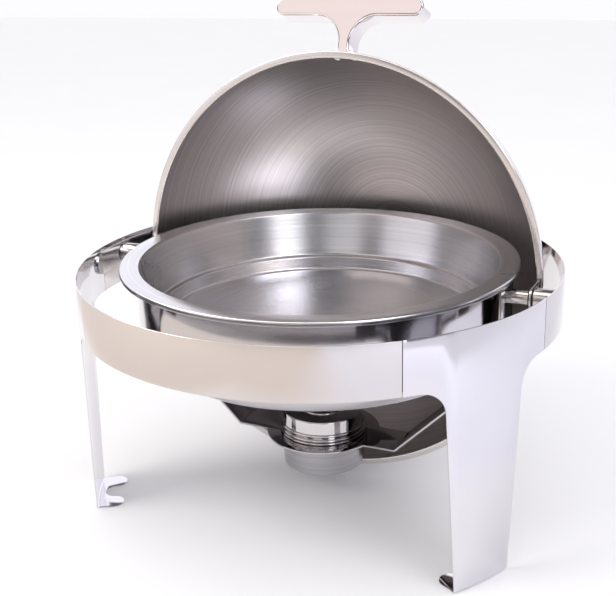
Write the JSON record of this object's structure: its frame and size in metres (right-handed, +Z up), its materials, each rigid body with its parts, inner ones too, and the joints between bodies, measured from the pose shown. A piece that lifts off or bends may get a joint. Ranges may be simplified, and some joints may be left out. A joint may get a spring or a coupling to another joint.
{
  "type": "roll top chafer",
  "caption": "Round roll top chafer on three legs: dome lid that rolls back on side pivots, food pan over a water pan, and a fuel cup in a bracket below.",
  "frame": {"origin": "on the floor, under the centre of the round ring", "axes": "+Z up; -Y is the front, where the lid opens; +X is the chafer's right-hand pivot seen from the front's right; the lid's pivot axis lies along X"},
  "size_m": [0.4844, 0.4844, 0.5008],
  "materials": {
    "polished_ring": "mirror-polished stainless steel",
    "polished_leg": "mirror-polished stainless steel",
    "inner_plate": "bright rolled stainless steel",
    "turned_steel": "turned and polished stainless steel",
    "washer": "dark fibre washer",
    "fastener": "bright stainless fasteners",
    "polished_bracket": "bright stainless strip",
    "water_pan": "bright drawn stainless steel",
    "satin_pan": "satin drawn stainless steel",
    "brushed_lid": "polished outside, brushed inside",
    "polished_handle": "mirror-polished cast stainless steel",
    "satin_cup": "satin stainless steel",
    "polished_cover": "mirror-polished stainless steel"
  },
  "bodies": {
    "stand": {"front_band": "polished_ring", "right_rear_band": "polished_ring", "left_rear_band": "polished_ring", "front_right_leg": "polished_leg", "front_left_leg": "polished_leg", "rear_leg": "polished_leg", "seam_plates": "inner_plate", "right_brace": "inner_plate", "left_brace": "inner_plate", "right_boss": "turned_steel", "left_boss": "turned_steel", "right_hinge_pin": "turned_steel", "left_hinge_pin": "turned_steel", "friction_washers": "washer", "right_sleeve": "turned_steel", "left_sleeve": "turned_steel", "right_hanger": "inner_plate", "left_hanger": "inner_plate", "hinge_nuts": "fastener", "strap_rivets": "fastener", "burner_bracket": "polished_bracket", "water_pan": "water_pan"},
    "lid": {"lid_dome": "brushed_lid", "right_lid_ear": "inner_plate", "left_lid_ear": "inner_plate", "lid_handle": "polished_handle", "handle_screws": "fastener"},
    "food_pan": {"food_pan": "satin_pan"},
    "fuel_unit": {"fuel_cup": "satin_cup", "fuel_cover": "polished_cover", "damper_rivet": "fastener"},
    "damper": {"damper_plate": "satin_cup"}
  },
  "joints": [
    {"name": "lid_roll", "type": "hinge", "parent": "stand", "child": "lid", "pos_m": [0, 0, 0.232], "axis": [1, 0, 0], "range_deg": [-60, 92]},
    {"name": "pan_lift", "type": "slide", "parent": "stand", "child": "food_pan", "axis": [0, 0, 1], "range_m": [0, 0.055]},
    {"name": "fuel_lift", "type": "slide", "parent": "stand", "child": "fuel_unit", "axis": [0, 0, 1], "range_m": [0, 0.04]},
    {"name": "damper_swing", "type": "hinge", "parent": "fuel_unit", "child": "damper", "pos_m": [0, 0.034, 0.087], "axis": [0, 0, 1], "range_deg": [-110, 20]}
  ]
}
